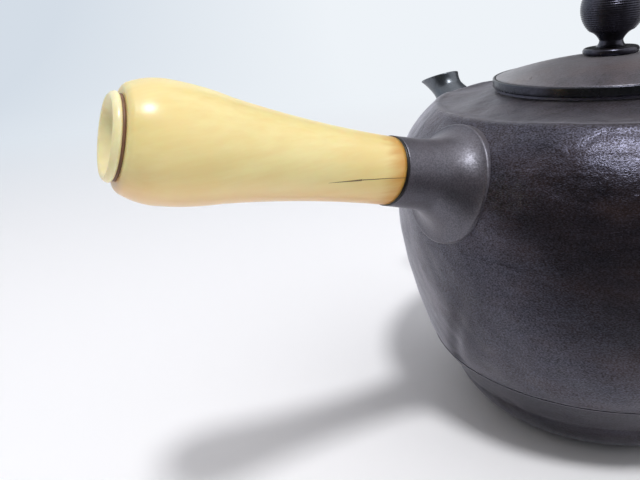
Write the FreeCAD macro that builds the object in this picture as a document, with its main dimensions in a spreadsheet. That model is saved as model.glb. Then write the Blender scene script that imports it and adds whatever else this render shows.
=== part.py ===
import FreeCAD, Part
import os
import re
import Sketcher

# Side-handled teapot of dark metal, lengths in millimetres and angles in degrees.
# The pot's axis is Z and the floor is Z = 0. The handle points along -X and the spout along +Y.
# Pieces on the handle or the spout are turned about their own axis, and heights on that axis are
# counted from where it crosses the pot's axis.

SIZES = {
    # vessel
    "wall": (2.0, "metal thickness of the vessel"),
    "base_radius": (30.6, "flat that stands on the table"),
    "foot_radius": (38.1, "edge between the rounded bottom and the bevel"),
    "foot_height": (9.5, "height of that edge"),
    "foot_bend": (16.0, "rounding of the bottom below that edge"),
    "seam_radius": (43.9, "wall at the seam with the base pan"),
    "seam_height": (18.6, "height of that seam"),
    "seam_lip": (0.15, "how far the pan's edge stands proud of the wall"),
    "belly_radius": (52.0, "widest place of the vessel"),
    "belly_height": (60.0, "height of the widest place"),
    "shoulder_radius": (41.0, "shoulder ridge"),
    "shoulder_drop": (2.2, "shoulder ridge below the edge of the mouth"),
    "shoulder_bend": (50.0, "hollow of the shoulder above the ridge"),
    "mouth_radius": (25.2, "hole in the top of the vessel"),
    "mouth_height": (81.9, "height of the edge of that hole"),
    "collar_wall": (1.8, "thickness of the mouth collar"),
    "collar_depth": (4.6, "reach of the collar into the vessel"),
    "collar_lip": (1.2, "how far the collar's flange lies over the shoulder"),
    "collar_rise": (0.5, "thickness of that flange"),
    # lid
    "seat_gap": (0.1, "lid rim above the collar"),
    "lid_radius": (26.9, "outside of the lid"),
    "rim_rise": (2.4, "height of the rim band"),
    "rim_edge": (0.5, "rounding of the rim band"),
    "plate_inset": (0.8, "lid plate's edge inside the rim band"),
    "plate_edge": (1.0, "depth of the rebate that holds the plate"),
    "plate_wall": (1.4, "thickness of the lid plate in the middle"),
    "dome_rise": (3.3, "rise of the lid plate above the rim"),
    "skirt_gap": (0.3, "skirt inside the collar"),
    "skirt_wall": (1.2, "thickness of the skirt"),
    "skirt_depth": (7.0, "reach of the skirt below the rim"),
    "vent_radius": (1.0, "air hole in the lid"),
    "vent_offset": (17.0, "air hole's distance from the axis"),
    # knob
    "seat_radius": (6.2, "round seat under the knob"),
    "seat_edge": (0.85, "rounding of the seat's edge, half its thickness"),
    "knob_gap": (0.1, "knob above its seat"),
    "neck_radius": (2.4, "knob's neck"),
    "neck_length": (1.95, "length of the neck"),
    "ball_radius": (6.5, "knob's ball"),
    "stem_radius": (1.4, "pin that holds the knob"),
    "stem_fit": (0.05, "running clearance round the pin"),
    "stem_reach": (6.0, "pin inside the knob"),
    "washer_gap": (0.3, "washer below the lid plate"),
    "washer_radius": (4.0, "washer on the end of the pin"),
    "washer_wall": (1.0, "thickness of that washer"),
    "stem_tail": (0.6, "pin below the washer"),
    "push_fit": (0.02, "clearance of pieces that are fixed in each other"),
    # handle
    "handle_height": (52.7, "handle axis where it crosses the pot's axis"),
    "handle_rise": (17.7, "angle of the handle above level"),
    "root_reach": (14.0, "inner end of handle and spout blanks, behind the belly's reach"),
    "flange_radius": (13.05, "edge of the socket's flange"),
    "flange_back": (3.0, "that edge behind the belly's reach"),
    "throat_radius": (7.8, "socket where the flare ends"),
    "throat_out": (4.6, "that place beyond the belly's reach"),
    "flare_bend": (10.0, "hollow curve of the flare"),
    "socket_radius": (7.2, "mouth of the socket"),
    "socket_out": (11.6, "that mouth beyond the belly's reach"),
    "tenon_radius": (5.0, "bore of the socket and tenon of the grip"),
    "tenon_length": (9.0, "tenon inside the socket"),
    "ring_length": (1.0, "dark ring between socket and grip"),
    "grip_root": (7.0, "grip beside that ring"),
    "grip_waist": (9.45, "grip where the hollow curve meets the bulb"),
    "waist_out": (47.4, "that place beyond the belly's reach"),
    "bulb_radius": (10.7, "widest place of the grip"),
    "bulb_out": (59.0, "that place beyond the belly's reach"),
    "grip_tail": (9.2, "grip beside the end band"),
    "tail_out": (65.3, "outer end of the grip beyond the belly's reach"),
    "band_radius": (7.7, "dark band sunk between grip and end ring"),
    "band_length": (1.0, "width of that band"),
    "lip_radius": (7.7, "end ring"),
    "lip_length": (2.3, "length of the end ring"),
    "lip_bend": (1.2, "rounding of the end ring"),
    "dish_radius": (5.8, "hollow in the end ring"),
    "dish_depth": (1.6, "depth of that hollow"),
    "spigot_radius": (4.0, "plug of the end ring inside the grip"),
    "spigot_length": (8.0, "length of that plug"),
    "tang_radius": (2.2, "rod through socket and grip"),
    "tang_out": (50.0, "outer end of the rod beyond the belly's reach"),
    # spout
    "spout_height": (24.2, "spout axis where it crosses the pot's axis"),
    "spout_rise": (40.0, "angle of the spout above level"),
    "spout_root": (8.6, "spout where it meets the wall"),
    "spout_root_back": (3.0, "end of the straight root behind the belly's reach"),
    "spout_neck": (4.6, "narrowest place of the spout"),
    "spout_neck_out": (13.1, "that place beyond the belly's reach"),
    "spout_sweep": (40.0, "hollow curve from root to neck"),
    "spout_flare": (6.3, "flare of the spout where its lip reaches farthest"),
    "spout_flare_out": (23.3, "that place beyond the belly's reach"),
    "flare_sweep": (31.0, "hollow curve of the flare"),
    "spout_lip_out": (18.8, "middle of the lip beyond the belly's reach"),
    "lip_lean": (17.0, "angle between the lip and level"),
    "lip_room": (14.0, "room that the lip's cut takes above the spout"),
    "spout_bore": (3.7, "straight bore of the spout"),
    "bore_out": (7.0, "inner end of that bore beyond the belly's reach"),
    "bore_length": (8.6, "length of that bore, up to where it widens to the lip"),
    "lip_bore": (5.4, "hollow of the spout where its lip reaches farthest"),
    "funnel_bore": (4.8, "bore above the strainer"),
    "strainer_radius": (5.4, "strainer disc"),
    "strainer_out": (2.5, "strainer's outer face beyond the belly's reach"),
    "strainer_wall": (1.2, "thickness of the strainer"),
    "hole_gap": (0.2, "hole through the vessel's wall round the strainer"),
    "hole_out": (6.0, "end of that cut beyond the belly's reach"),
    "sieve_hole": (0.6, "hole of the strainer"),
    "inner_ring": (1.9, "inner ring of strainer holes"),
    "inner_count": (6, "holes in the inner ring"),
    "outer_ring": (3.8, "outer ring of strainer holes"),
    "outer_count": (12, "holes in the outer ring"),
}


def tangent_bend(wide, high, narrow, low):
    """Radius of the arc from (narrow, low) that runs parallel to the axis at (wide, high)."""
    return f"((({wide}) - ({narrow}))^2 + (({high}) - ({low}))^2) / (2 * (({wide}) - ({narrow})))"


# Worked-out places, from the sizes above.
SHOULDER_HEIGHT = "(mouth_height - shoulder_drop)"
BELLY_BEND = tangent_bend("belly_radius", "belly_height", "seam_radius", "seam_height")
CROWN_BEND = tangent_bend("belly_radius", SHOULDER_HEIGHT, "shoulder_radius", "belly_height")
SEAM_REACH = f"sqrt((({BELLY_BEND}) - wall)^2 - (belly_height - seam_height)^2)"
SEAM_INNER = f"belly_radius - ({BELLY_BEND}) + {SEAM_REACH}"
CROWN_SHARE = f"wall / ({CROWN_BEND})"
SHOULDER_INNER = f"shoulder_radius - (shoulder_radius - belly_radius + ({CROWN_BEND})) * {CROWN_SHARE}"
SHOULDER_UNDER = f"{SHOULDER_HEIGHT} - ({SHOULDER_HEIGHT} - belly_height) * {CROWN_SHARE}"
SHELL_BELOW = "mouth_height - wall"
COLLAR_INNER = "mouth_radius - push_fit - collar_wall"
COLLAR_TOP = "mouth_height + collar_rise"
RIM_LOW = f"{COLLAR_TOP} + seat_gap"
RIM_TOP = f"{RIM_LOW} + rim_rise"
REBATE = f"{RIM_TOP} - plate_edge"
PLATE_RADIUS = "lid_radius - plate_inset"
SKIRT_OUTER = f"{COLLAR_INNER} - skirt_gap"
SKIRT_INNER = f"{SKIRT_OUTER} - skirt_wall"
DOME_TOP = f"{RIM_TOP} + dome_rise"
DOME_UNDER = f"{DOME_TOP} - plate_wall"
DOME_BEND = f"(({PLATE_RADIUS} - seat_radius)^2 + dome_rise^2) / (2 * dome_rise)"
UNDER_RISE = f"({DOME_UNDER} - ({REBATE}))"
UNDER_BEND = f"(({SKIRT_INNER} - washer_radius)^2 + {UNDER_RISE}^2) / (2 * {UNDER_RISE})"
STEM_HOLE = "stem_radius + stem_fit"
STEM_BORE = "stem_radius + push_fit"
SEAT_TOP = f"{DOME_TOP} + 2 * seat_edge"
KNOB_LOW = f"{SEAT_TOP} + knob_gap"
NECK_TOP = f"{KNOB_LOW} + neck_length"
KNOB_TOP = f"{NECK_TOP} + sqrt(ball_radius^2 - neck_radius^2) + ball_radius"
STEM_TOP = f"{KNOB_LOW} + stem_reach"
WASHER_TOP = f"{DOME_UNDER} - washer_gap"
WASHER_LOW = f"{WASHER_TOP} - washer_wall"

# The belly's reach: how far along the handle or the spout the vessel's widest place lies.
HANDLE_REACH = "belly_radius / cos(handle_rise)"
HANDLE_ROOT = f"{HANDLE_REACH} - root_reach"
FLANGE = f"{HANDLE_REACH} - flange_back"
THROAT = f"{HANDLE_REACH} + throat_out"
SOCKET_END = f"{HANDLE_REACH} + socket_out"
GRIP_START = f"{SOCKET_END} + ring_length"
TENON_START = f"{SOCKET_END} - tenon_length"
TENON = "tenon_radius - push_fit"
TANG_BORE = "tang_radius + push_fit"
TANG_END = f"{HANDLE_REACH} + tang_out"
WAIST = f"{HANDLE_REACH} + waist_out"
BULB = f"{HANDLE_REACH} + bulb_out"
TAIL = f"{HANDLE_REACH} + tail_out"
BAND_END = f"{TAIL} + band_length"
LIP_END = f"{BAND_END} + lip_length"
SPIGOT_START = f"{TAIL} - spigot_length"
ROOT_BEND = tangent_bend("grip_waist", WAIST, "grip_root", GRIP_START)
WAIST_BEND = tangent_bend("bulb_radius", BULB, "grip_waist", WAIST)
TAIL_BEND = tangent_bend("bulb_radius", TAIL, "grip_tail", BULB)
SPOUT_REACH = "belly_radius / cos(spout_rise)"
SPOUT_ROOT = f"{SPOUT_REACH} - root_reach"
SPOUT_ROOT_END = f"{SPOUT_REACH} - spout_root_back"
SPOUT_NECK = f"{SPOUT_REACH} + spout_neck_out"
SPOUT_FLARE = f"{SPOUT_REACH} + spout_flare_out"
SPOUT_LIP = f"({SPOUT_REACH} + spout_lip_out)"
BORE_START = f"{SPOUT_REACH} + bore_out"
BORE_END = f"{BORE_START} + bore_length"
STRAINER_SEAT = f"{SPOUT_REACH} + strainer_out"
STRAINER_LOW = f"{STRAINER_SEAT} - strainer_wall"
WALL_HOLE = "strainer_radius + hole_gap"
WALL_HOLE_END = f"{SPOUT_REACH} + hole_out"

# What leans along the handle or the spout is turned about one of these from upright.
HANDLE_TURN = FreeCAD.Vector(0, -1, 0)
SPOUT_TURN = FreeCAD.Vector(-1, 0, 0)

doc = FreeCAD.newDocument("side_handled_teapot")
sheet = doc.addObject("Spreadsheet::Sheet", "Sizes")
for row, (alias, (number, meaning)) in enumerate(SIZES.items(), start=1):
    sheet.set(f"A{row}", meaning)
    sheet.set(f"B{row}", str(number))
    sheet.setAlias(f"B{row}", alias)
doc.recompute()


def named(text):
    """The expression with each size read from the sheet."""
    return re.sub(r"[a-z_]+", lambda word: f"Sizes.{word[0]}" if word[0] in SIZES else word[0], text)


def value(text):
    """The number that an expression of sizes has now."""
    return float(sheet.evalExpression(named(text)))


def swell(bend):
    """An arc to the next corner that bulges to the right of the outline's way round."""
    return (1, bend)


def hollow(bend):
    """An arc to the next corner that is hollow on that side."""
    return (-1, bend)


def own_plane(body, role):
    """A body's own origin plane."""
    return next(feature for feature in body.Origin.OriginFeatures if feature.Role == role)


def own_sketch(body, name, role):
    """An empty sketch on one of a body's own origin planes."""
    sketch = body.newObject("Sketcher::SketchObject", name)
    sketch.AttachmentSupport = [(own_plane(body, role), "")]
    sketch.MapMode = "FlatFace"
    return sketch


def tie(sketch, constraint, name, text):
    """Add a dimension to a sketch and bind it to an expression of sizes."""
    index = sketch.addConstraint(constraint)
    sketch.renameConstraint(index, name)
    sketch.setExpression(f"Constraints.{name}", named(text))


def arc_between(start, end, side, bend):
    """The arc of radius bend from start to end, on the given side of the chord."""
    chord = end - start
    half = chord.Length / 2
    rise = bend - max(bend * bend - half * half, 0) ** 0.5
    outward = FreeCAD.Vector(chord.y, -chord.x, 0).normalize()
    return Part.Arc(start, (start + end) / 2 + outward * (rise * side), end)


def turned(label, outline):
    """A solid turned about Z. The outline's corners are (radius, height) or (radius, height, arc),
    anticlockwise with the axis on the left, so that an arc that swells bulges out of the metal."""
    body = doc.addObject("PartDesign::Body", label)
    body.Label = label
    sketch = own_sketch(body, label + "_outline", "XZ_Plane")
    places = [FreeCAD.Vector(value(corner[0]), value(corner[1]), 0) for corner in outline]
    count = len(outline)
    ends = []
    for index, corner in enumerate(outline):
        start, end = places[index], places[(index + 1) % count]
        if len(corner) == 2:
            sketch.addGeometry(Part.LineSegment(start, end))
            ends.append((1, 2))
        else:
            side, bend = corner[2]
            sketch.addGeometry(arc_between(start, end, side, value(bend)))
            ends.append((1, 2) if side > 0 else (2, 1))
    for index, corner in enumerate(outline):
        following = (index + 1) % count
        first = ends[index][0]
        last, next_first = ends[index][1], ends[following][0]
        sketch.addConstraint(Sketcher.Constraint("Coincident", index, last, following, next_first))
        if corner[0] == "0":
            sketch.addConstraint(Sketcher.Constraint("PointOnObject", index, first, -2))
        else:
            across = Sketcher.Constraint("DistanceX", -1, 1, index, first, places[index].x)
            tie(sketch, across, f"radius_{index}", corner[0])
        if corner[1] == "0":
            sketch.addConstraint(Sketcher.Constraint("PointOnObject", index, first, -1))
        else:
            upward = Sketcher.Constraint("DistanceY", -1, 1, index, first, places[index].y)
            tie(sketch, upward, f"height_{index}", corner[1])
        if len(corner) == 3:
            bend = corner[2][1]
            tie(sketch, Sketcher.Constraint("Radius", index, value(bend)), f"bend_{index}", bend)
    turning = body.newObject("PartDesign::Revolution", label + "_turning")
    turning.Profile = sketch
    turning.ReferenceAxis = (sketch, ["V_Axis"])
    turning.Angle = 360
    return body


def tube(label, inner, outer, low, high):
    """A plain ring or tube about Z."""
    return turned(label, [(inner, low), (outer, low), (outer, high), (inner, high)])


def rod(label, radius, low, high):
    """A plain rod or disc about Z."""
    return turned(label, [("0", low), (radius, low), (radius, high), ("0", high)])


def cut(label, base, tool):
    """The base with the tool's room taken out of it."""
    result = doc.addObject("Part::Cut", label)
    result.Label = label
    result.Base = base
    result.Tool = tool
    return result


def along(piece, turn_axis, height, tilt):
    """Lean a piece over so that its own Z lies on the handle's or the spout's axis."""
    place = FreeCAD.Vector(0, 0, value(height))
    piece.Placement = FreeCAD.Placement(place, FreeCAD.Rotation(turn_axis, value(tilt)))
    piece.setExpression("Placement.Base.z", named(height))
    piece.setExpression("Placement.Rotation.Angle", named(tilt))
    return piece


def on_handle(piece):
    """Put a piece on the handle's axis."""
    return along(piece, HANDLE_TURN, "handle_height", "90 - handle_rise")


def on_spout(piece):
    """Put a piece on the spout's axis."""
    return along(piece, SPOUT_TURN, "spout_height", "90 - spout_rise")


def vessel():
    """Wall and base of the vessel, and the collar in its mouth."""
    envelope = turned("vessel_outside", [
        ("0", "seam_height"),
        ("seam_radius", "seam_height", swell(BELLY_BEND)),
        ("belly_radius", "belly_height", swell(CROWN_BEND)),
        ("shoulder_radius", SHOULDER_HEIGHT, hollow("shoulder_bend")),
        ("mouth_radius", "mouth_height"),
        ("0", "mouth_height"),
    ])
    cavity = turned("vessel_inside", [
        ("0", "seam_height"),
        (SEAM_INNER, "seam_height", swell(f"({BELLY_BEND}) - wall")),
        ("belly_radius - wall", "belly_height", swell(f"({CROWN_BEND}) - wall")),
        (SHOULDER_INNER, SHOULDER_UNDER, hollow("shoulder_bend + wall")),
        ("mouth_radius", SHELL_BELOW),
        ("mouth_radius", "mouth_height"),
        ("0", "mouth_height"),
    ])
    spout_hole = on_spout(rod("spout_hole", WALL_HOLE, SPOUT_ROOT, WALL_HOLE_END))
    shell = cut("body_shell", cut("vessel_wall", envelope, cavity), spout_hole)
    pan = turned("base_pan", [
        ("0", "0"),
        ("base_radius", "0", swell("foot_bend")),
        ("foot_radius", "foot_height"),
        ("seam_radius + seam_lip", "seam_height"),
        (SEAM_INNER, "seam_height"),
        ("base_radius", "wall"),
        ("0", "wall"),
    ])
    collar = turned("mouth_collar", [
        (COLLAR_INNER, "mouth_height - collar_depth"),
        ("mouth_radius - push_fit", "mouth_height - collar_depth"),
        ("mouth_radius - push_fit", "mouth_height"),
        ("mouth_radius + collar_lip", "mouth_height"),
        ("mouth_radius + collar_lip", COLLAR_TOP),
        (COLLAR_INNER, COLLAR_TOP),
    ])
    return envelope, [shell, pan, collar]


def lid():
    """Domed plate in a rim band, and the skirt that keeps the lid in the mouth."""
    plate = turned("lid_plate_blank", [
        (STEM_HOLE, DOME_UNDER),
        ("washer_radius", DOME_UNDER, hollow(UNDER_BEND)),
        (SKIRT_INNER, REBATE),
        (PLATE_RADIUS, REBATE),
        (PLATE_RADIUS, RIM_TOP, swell(DOME_BEND)),
        ("seat_radius", DOME_TOP),
        (STEM_HOLE, DOME_TOP),
    ])
    vent = doc.addObject("Part::Cylinder", "vent")
    vent.setExpression("Radius", named("vent_radius"))
    vent.setExpression("Height", named(f"{DOME_TOP} - mouth_height"))
    vent.setExpression("Placement.Base.y", named("vent_offset"))
    vent.setExpression("Placement.Base.z", named("mouth_height"))
    rim = turned("lid_rim", [
        (SKIRT_INNER, RIM_LOW),
        ("lid_radius", RIM_LOW),
        ("lid_radius", f"{RIM_TOP} - rim_edge", swell("rim_edge")),
        ("lid_radius - rim_edge", RIM_TOP),
        (PLATE_RADIUS, RIM_TOP),
        (PLATE_RADIUS, REBATE),
        (SKIRT_INNER, REBATE),
    ])
    skirt = tube("lid_skirt", SKIRT_INNER, SKIRT_OUTER, f"{RIM_LOW} - skirt_depth", RIM_LOW)
    seat = turned("knob_seat", [
        (STEM_HOLE, DOME_TOP),
        ("seat_radius - seat_edge", DOME_TOP, swell("seat_edge")),
        ("seat_radius", f"{DOME_TOP} + seat_edge", swell("seat_edge")),
        ("seat_radius - seat_edge", SEAT_TOP),
        (STEM_HOLE, SEAT_TOP),
    ])
    return [cut("lid_plate", plate, vent), rim, skirt, seat]


def knob():
    """Ball knob with its pin, held under the lid by a washer."""
    ball = turned("knob_ball", [
        (STEM_BORE, KNOB_LOW),
        ("neck_radius", KNOB_LOW),
        ("neck_radius", NECK_TOP, swell("ball_radius")),
        ("0", KNOB_TOP),
        ("0", STEM_TOP),
        (STEM_BORE, STEM_TOP),
    ])
    stem = rod("knob_stem", "stem_radius", f"{WASHER_LOW} - stem_tail", STEM_TOP)
    washer = tube("stem_washer", STEM_BORE, "washer_radius", WASHER_LOW, WASHER_TOP)
    return [ball, stem, washer]


def handle(envelope):
    """Flared socket on the wall, the grip with its tenon, and the pieces at both its ends."""
    socket = on_handle(turned("handle_socket_blank", [
        ("tenon_radius", HANDLE_ROOT),
        ("flange_radius", HANDLE_ROOT),
        ("flange_radius", FLANGE, hollow("flare_bend")),
        ("throat_radius", THROAT),
        ("socket_radius", SOCKET_END),
        ("tenon_radius", SOCKET_END),
    ]))
    tang = on_handle(rod("tang_rod_blank", "tang_radius", HANDLE_ROOT, TANG_END))
    ring = on_handle(tube("spacer_ring", "tenon_radius", "socket_radius", SOCKET_END, GRIP_START))
    grip = on_handle(turned("grip", [
        (TANG_BORE, TENON_START),
        (TENON, TENON_START),
        (TENON, GRIP_START),
        ("grip_root", GRIP_START, hollow(ROOT_BEND)),
        ("grip_waist", WAIST, swell(WAIST_BEND)),
        ("bulb_radius", BULB, swell(TAIL_BEND)),
        ("grip_tail", TAIL),
        ("spigot_radius", TAIL),
        ("spigot_radius", SPIGOT_START),
        ("0", SPIGOT_START),
        ("0", TANG_END),
        (TANG_BORE, TANG_END),
    ]))
    band = on_handle(tube("end_band", "spigot_radius", "band_radius", TAIL, BAND_END))
    end_ring = on_handle(turned("end_ring", [
        ("0", SPIGOT_START),
        ("spigot_radius - push_fit", SPIGOT_START),
        ("spigot_radius - push_fit", BAND_END),
        ("lip_radius", BAND_END),
        ("lip_radius", f"{LIP_END} - lip_bend", swell("lip_bend")),
        ("lip_radius - lip_bend", LIP_END),
        ("dish_radius", LIP_END),
        ("0", f"{LIP_END} - dish_depth"),
    ]))
    on_wall = [cut("handle_socket", socket, envelope), cut("tang_rod", tang, envelope)]
    return on_wall + [ring, grip, band, end_ring]


def strainer():
    """Pierced disc that keeps the leaves out of the spout."""
    disc = rod("strainer_plate", "strainer_radius - push_fit", STRAINER_LOW, STRAINER_SEAT)
    for ring, count in (("inner_ring", "inner_count"), ("outer_ring", "outer_count")):
        sketch = own_sketch(disc, f"{ring}_hole", "XY_Plane")
        centre, upward = FreeCAD.Vector(value(ring), 0, 0), FreeCAD.Vector(0, 0, 1)
        sketch.addGeometry(Part.Circle(centre, upward, value("sieve_hole")))
        sketch.addConstraint(Sketcher.Constraint("PointOnObject", 0, 3, -1))
        tie(sketch, Sketcher.Constraint("DistanceX", -1, 1, 0, 3, value(ring)), "offset", ring)
        tie(sketch, Sketcher.Constraint("Radius", 0, value("sieve_hole")), "bore", "sieve_hole")
        hole = disc.newObject("PartDesign::Pocket", f"{ring}_cut")
        hole.Profile = sketch
        hole.Type = "ThroughAll"
        hole.Reversed = True
        doc.recompute()
        holes = disc.newObject("PartDesign::PolarPattern", f"{ring}_pattern")
        holes.Originals = [hole]
        holes.Axis = (sketch, ["N_Axis"])
        holes.Angle = 360
        holes.setExpression("Occurrences", named(count))
        disc.Tip = holes
    return on_spout(disc)


def spout(envelope):
    """Short rising spout with a flared lip, seated on the wall, and the strainer in its root."""
    blank = on_spout(turned("spout_tube_blank", [
        ("strainer_radius", SPOUT_ROOT),
        ("spout_root", SPOUT_ROOT),
        ("spout_root", SPOUT_ROOT_END, hollow("spout_sweep")),
        ("spout_neck", SPOUT_NECK, hollow("flare_sweep")),
        ("spout_flare", SPOUT_FLARE),
        ("lip_bore", SPOUT_FLARE),
        ("spout_bore", BORE_END),
        ("spout_bore", BORE_START),
        ("funnel_bore", STRAINER_SEAT),
        ("strainer_radius", STRAINER_SEAT),
    ]))
    lip_height = f"spout_height + {SPOUT_LIP} * sin(spout_rise)"
    lip_cut = along(rod("lip_cut", "lip_room", "0", "lip_room"), SPOUT_TURN, lip_height, "lip_lean")
    lip_cut.setExpression("Placement.Base.y", named(f"{SPOUT_LIP} * cos(spout_rise)"))
    return [cut("spout_tube", cut("spout_seated", blank, envelope), lip_cut), strainer()]


outside, pieces = vessel()
pieces += lid() + knob() + handle(outside) + spout(outside)
doc.recompute()

failed = [item.Name for item in doc.Objects if {"Invalid", "Error"} & set(item.State)]
if failed:
    raise RuntimeError(f"not built: {failed}")
for piece in pieces:
    if piece.Shape.isNull() or not piece.Shape.isValid():
        raise RuntimeError(f"bad shape: {piece.Label}")

os.makedirs("parts", exist_ok=True)
for piece in pieces:
    piece.Shape.exportStep(f"parts/{piece.Label}.step")
    print(piece.Label, len(piece.Shape.Solids), round(piece.Shape.Volume, 1), piece.Shape.BoundBox)
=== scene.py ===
"""Looks of a side-handled teapot: hammered vessel, flared socket, pale grip, domed lid and ribbed knob."""
import logging
from dataclasses import dataclass, field, replace
from enum import Enum
from typing import Any

import bmesh
import bpy
import numpy as np
from mathutils import Matrix


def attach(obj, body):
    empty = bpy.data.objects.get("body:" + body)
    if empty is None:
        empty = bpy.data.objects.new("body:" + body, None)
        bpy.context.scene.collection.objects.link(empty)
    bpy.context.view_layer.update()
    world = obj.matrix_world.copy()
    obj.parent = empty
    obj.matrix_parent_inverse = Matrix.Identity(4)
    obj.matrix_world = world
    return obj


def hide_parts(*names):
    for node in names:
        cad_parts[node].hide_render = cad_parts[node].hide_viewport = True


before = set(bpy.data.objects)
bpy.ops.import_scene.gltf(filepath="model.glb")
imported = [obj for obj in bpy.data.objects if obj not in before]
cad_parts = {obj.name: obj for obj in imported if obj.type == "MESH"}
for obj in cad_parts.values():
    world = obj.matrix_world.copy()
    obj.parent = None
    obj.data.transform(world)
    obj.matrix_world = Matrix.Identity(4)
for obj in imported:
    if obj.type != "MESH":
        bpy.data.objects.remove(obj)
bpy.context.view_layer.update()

LOG = logging.getLogger("teapot")
Pair = tuple[float, float]
MM = 0.001
PHOTO_WIDTH = 640
FULL_TURN = 2 * np.pi
UP = np.array([0.0, 0.0, 1.0])
# Millimetres along the handle in one unit of the grip's own map.
MAP_MM = 100.0
# Radius of the first ring of points round an axis, in millimetres.
CORE = 1.0
# Points closer than this are merged into one, in metres.
SAME_POINT = 1e-6
# Places of the sockets of a Mix node that mixes colours.
SHARE, FIRST, SECOND, MIXED = 0, 6, 7, 2


class Slot(Enum):
    """Material slots, one for each kind of finish."""

    HAMMERED = "hammered_iron"
    SOCKET = "socket_iron"
    LID = "lid_iron"
    RIM = "rim_iron"
    KNOB = "knob_iron"
    GRIP = "pale_grip"
    HORN = "dark_horn"


class Body(Enum):
    """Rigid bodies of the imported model."""

    POT = "pot"
    LID = "lid"
    KNOB = "knob"


def linear(code: str) -> tuple[float, float, float, float]:
    """Turn an sRGB hex colour into linear RGBA.

    Args:
        code: Colour such as "#4A4446".

    Returns:
        Red, green, blue and alpha in linear light.
    """
    channels = np.array([int(code[place:place + 2], 16) for place in (1, 3, 5)]) / 255.0
    curved = ((channels + 0.055) / 1.055) ** 2.4
    return (*np.where(channels <= 0.04045, channels / 12.92, curved).tolist(), 1.0)


def per_metre(size_mm: float) -> float:
    """Texture scale that gives features of the given size in millimetres."""
    return 1.0 / (size_mm * MM)


def add(tree: bpy.types.NodeTree, kind: str, inputs: dict[Any, Any] | None = None,
        **settings: Any) -> bpy.types.Node:
    """Add one node with its settings, values and links.

    Args:
        tree: Node tree that gets the node.
        kind: Blender's name for the kind of node, without its prefix.
        inputs: Input names or places, each with a value, an output socket, or a node for its first output.
        settings: Properties of the node.

    Returns:
        The new node.
    """
    made = tree.nodes.new(f"ShaderNode{kind}")
    for name, setting in settings.items():
        setattr(made, name, setting)
    for name, given in (inputs or {}).items():
        source = given.outputs[0] if isinstance(given, bpy.types.Node) else given
        if isinstance(source, bpy.types.NodeSocket):
            tree.links.new(source, made.inputs[name])
        else:
            made.inputs[name].default_value = source
    return made


def blank_material(name: str) -> tuple[bpy.types.Material, bpy.types.NodeTree]:
    """A new material with an empty node tree.

    Args:
        name: Name of the material.

    Returns:
        The material and its tree.
    """
    made = bpy.data.materials.new(name)
    made.use_nodes = True
    made.node_tree.nodes.clear()
    return made, made.node_tree


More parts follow.
